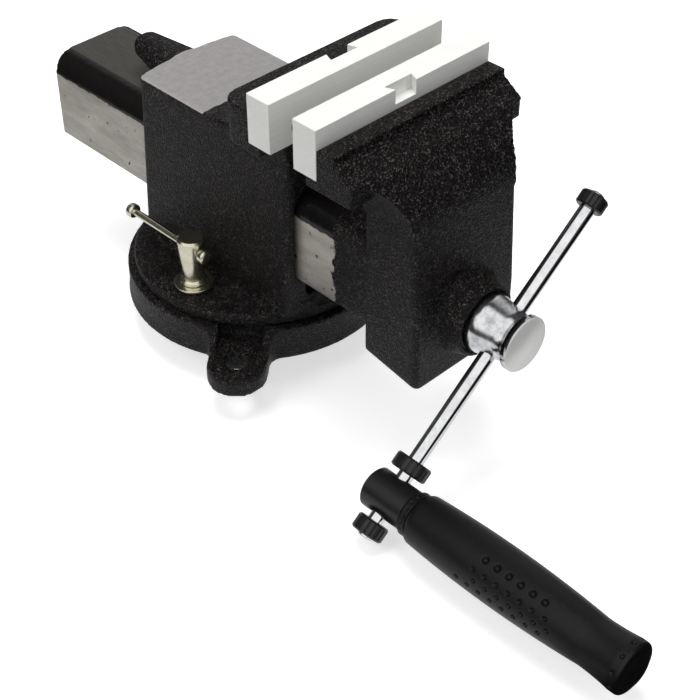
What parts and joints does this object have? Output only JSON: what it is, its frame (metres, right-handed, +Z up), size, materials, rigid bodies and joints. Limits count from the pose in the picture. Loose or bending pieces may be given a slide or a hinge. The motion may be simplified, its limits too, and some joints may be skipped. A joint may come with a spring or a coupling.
{
  "type": "swivel-base bench vise",
  "caption": "Cast swivel-base bench vise with dovetail-notched soft aluminium jaw plates, rear anvil and horn, and a sliding crank handle with a turning grip.",
  "frame": {"origin": "where the swivel axis meets the plane of the bench, at the centre of the bolt circle", "axes": "+Z up along the swivel axis, +Y from the handle towards the rear of the slide bar, +X to the right as seen from the handle"},
  "size_m": [0.1949, 0.5006, 0.1998],
  "materials": {
    "casting": "wrinkle paint",
    "soft_jaw": "fine milled",
    "chrome": "polished",
    "zinc": "yellow passivated zinc",
    "steel": "turned and oiled",
    "black_steel": "gloss black",
    "grip": "satin moulded",
    "nut_iron": "machined"
  },
  "bodies": {
    "base": {"base_casting": "casting"},
    "swivel": {"fixed_jaw": "casting", "fixed_jaw_plate": "soft_jaw", "fixed_plate_screws": "black_steel", "spindle_nut": "nut_iron", "nut_screws": "black_steel", "lock_bolt_left": "zinc", "lock_bolt_right": "zinc", "lock_washer_left": "zinc", "lock_washer_right": "zinc"},
    "jaw": {"moving_jaw": "casting", "moving_jaw_plate": "soft_jaw", "moving_plate_screws": "black_steel"},
    "spindle": {"spindle": "chrome", "thrust_washer": "steel", "spring_washer": "steel", "spindle_spring": "steel", "spindle_collar": "steel", "collar_pin": "steel"},
    "rod": {"handle_rod": "chrome", "rod_cap": "black_steel", "ring_nut": "black_steel", "end_nut": "black_steel", "grip_hub": "black_steel", "hub_set_screw": "black_steel", "grip_axle": "steel", "grip_collar": "grip"},
    "grip": {"grip_sleeve": "grip", "grip_end_cap": "grip"},
    "lock_left": {"lock_nut_left": "zinc"},
    "lock_bar_left": {"lock_bar_left": "zinc", "lock_bar_ends_left": "zinc"},
    "lock_right": {"lock_nut_right": "zinc"},
    "lock_bar_right": {"lock_bar_right": "zinc", "lock_bar_ends_right": "zinc"}
  },
  "joints": [
    {"name": "swivel_turn", "type": "hinge", "parent": "base", "child": "swivel", "pos_m": [0, 0, 0.021], "axis": [0, 0, 1], "continuous": true},
    {"name": "jaw_slide", "type": "slide", "parent": "swivel", "child": "jaw", "axis": [0, 1, 0], "range_m": [-0.10802, 0.01702]},
    {"name": "spindle_turn", "type": "hinge", "parent": "jaw", "child": "spindle", "pos_m": [0, -0.18, 0.068], "axis": [0, 1, 0], "range_deg": [-9720, 1530]},
    {"name": "rod_slide", "type": "slide", "parent": "spindle", "child": "rod", "axis": [0.7934, 0, 0.6088], "range_m": [-0.0605, 0.0625]},
    {"name": "grip_spin", "type": "hinge", "parent": "rod", "child": "grip", "pos_m": [-0.08219, -0.28, 0.00493], "axis": [0, 1, 0], "continuous": true},
    {"name": "lock_turn_left", "type": "hinge", "parent": "swivel", "child": "lock_left", "pos_m": [-0.056, -0.00638, 0.044], "axis": [0, 0, 1], "range_deg": [-8, 188]},
    {"name": "lock_bar_slide_left", "type": "slide", "parent": "lock_left", "child": "lock_bar_left", "axis": [0, -1, 0], "range_m": [0, 0.042]},
    {"name": "lock_turn_right", "type": "hinge", "parent": "swivel", "child": "lock_right", "pos_m": [0.056, 0.00638, 0.044], "axis": [0, 0, 1], "range_deg": [-8, 188]},
    {"name": "lock_bar_slide_right", "type": "slide", "parent": "lock_right", "child": "lock_bar_right", "axis": [0, 1, 0], "range_m": [0, 0.042]}
  ],
  "couplings": [
    {"joint": "jaw_slide", "follows": "spindle_turn", "m_per_rad": 0.00063662}
  ]
}
